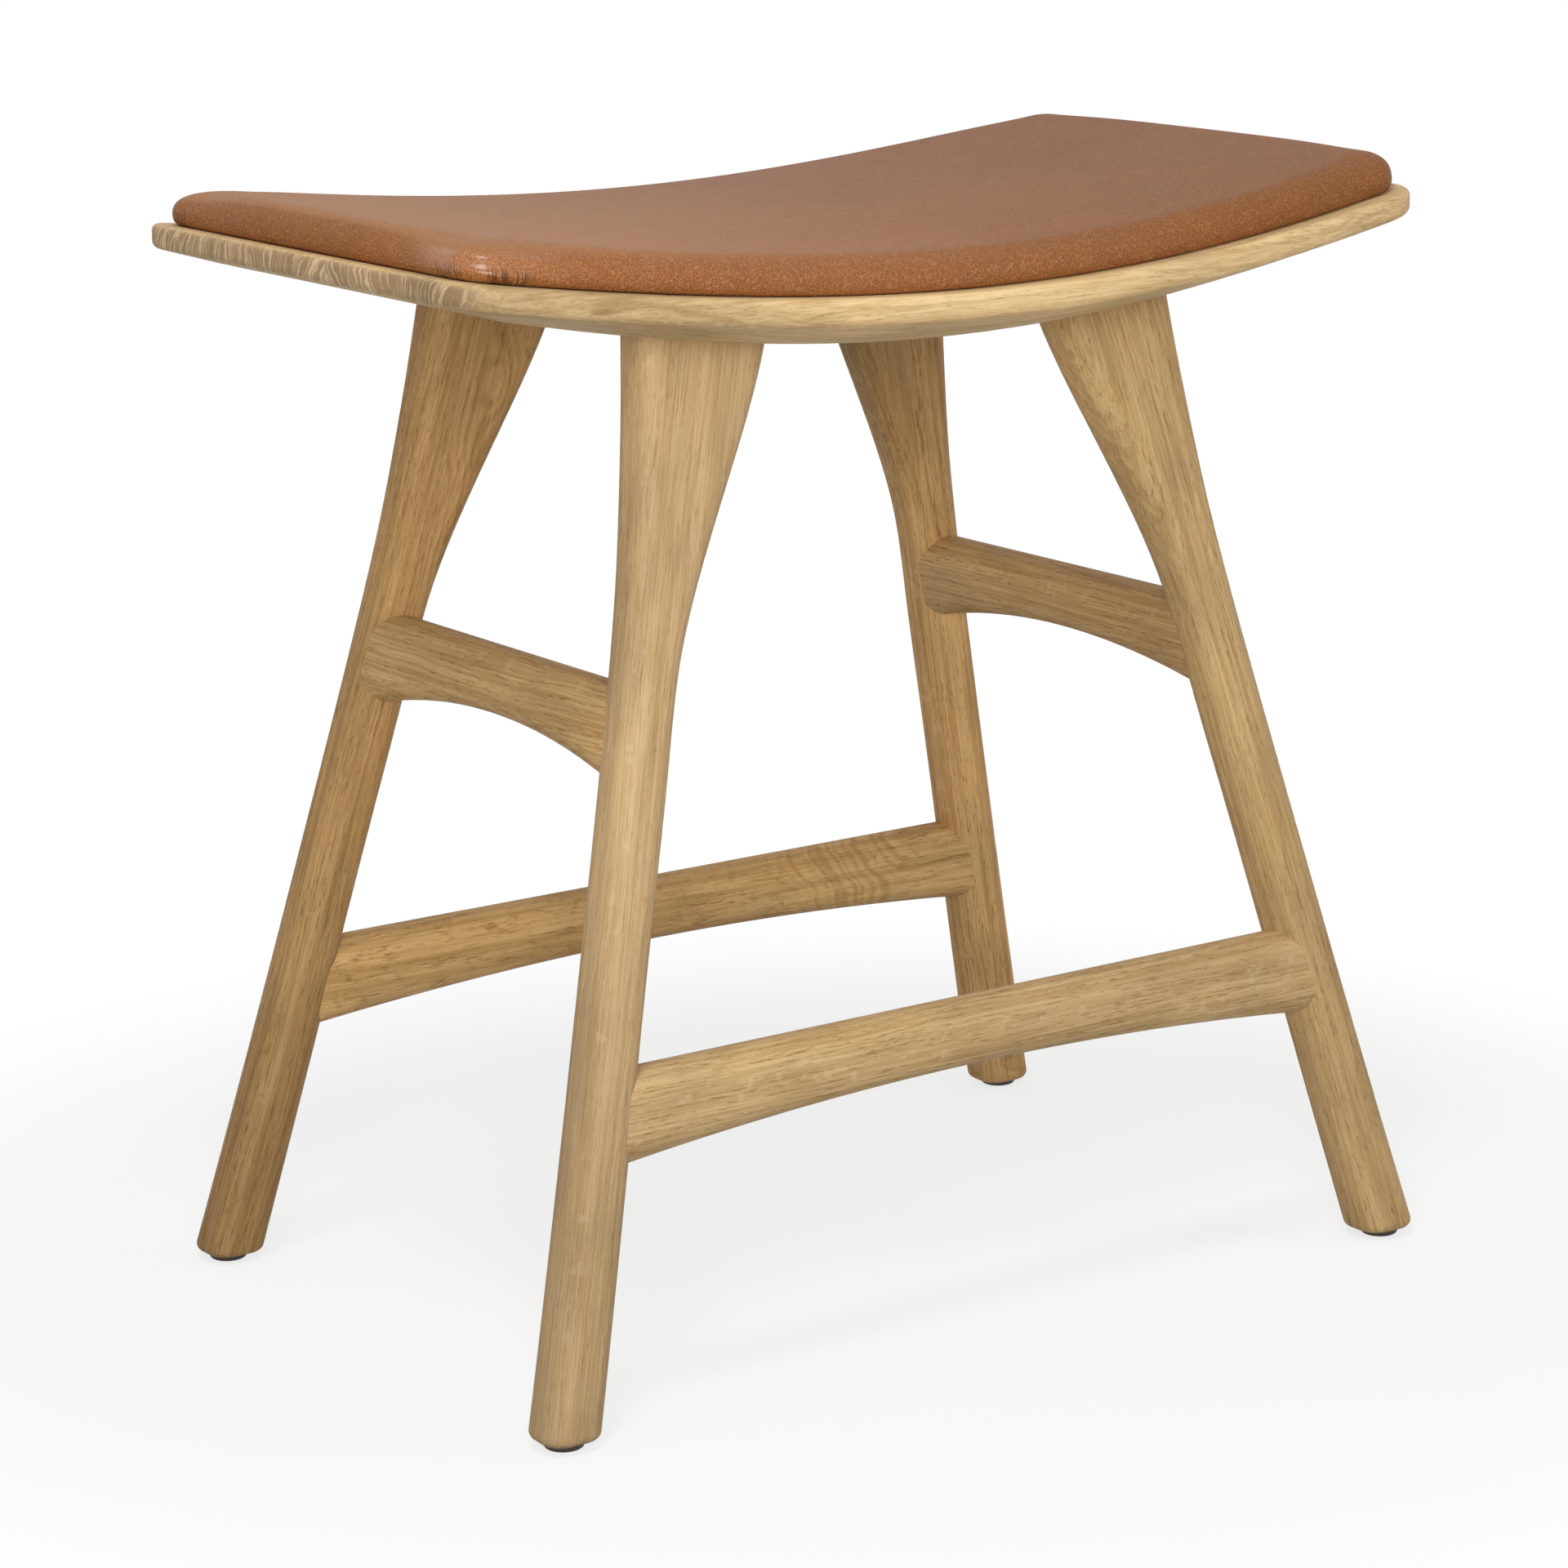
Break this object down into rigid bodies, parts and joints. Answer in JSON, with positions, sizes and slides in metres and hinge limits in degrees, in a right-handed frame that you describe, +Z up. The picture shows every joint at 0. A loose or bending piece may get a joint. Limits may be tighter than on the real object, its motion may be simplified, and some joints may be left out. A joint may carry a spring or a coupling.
{
  "type": "leather stool",
  "caption": "Low oak stool with a dished board seat, cognac leather pad, splayed legs that widen at the top, and arched stretchers.",
  "frame": {"origin": "on the floor, at the middle of the stool's footprint", "axes": "+Z up, X along the stool's length, Y across its depth; the front faces -Y"},
  "size_m": [0.5, 0.3178, 0.4946],
  "materials": {
    "oak": "smooth, clear matt lacquer on planed and sanded oak",
    "beech": "turned, fluted, unfinished",
    "plywood": "sanded, unfinished",
    "leather": "cognac, fine pebble grain, soft semi-matt",
    "foam": "open cell, cut",
    "black_cloth": "thin non-woven, matt",
    "screw_steel": "zinc plated",
    "nail_steel": "bright",
    "glide_plastic": "dark brown, matt"
  },
  "bodies": {
    "root": {"seat_stave_1": "oak", "seat_stave_2": "oak", "seat_stave_3": "oak", "seat_stave_4": "oak", "seat_stave_5": "oak", "pad_cover": "leather", "pad_foam": "foam", "pad_board": "plywood", "pad_liner": "black_cloth", "pad_screws": "screw_steel", "leg_front_left": "oak", "glide_front_left": "glide_plastic", "leg_front_right": "oak", "glide_front_right": "glide_plastic", "leg_back_left": "oak", "glide_back_left": "glide_plastic", "leg_back_right": "oak", "glide_back_right": "glide_plastic", "stretcher_left": "oak", "stretcher_right": "oak", "stretcher_front": "oak", "stretcher_back": "oak", "seat_dowels": "beech", "stretcher_dowels": "beech", "glide_nails": "nail_steel"}
  },
  "joints": []
}
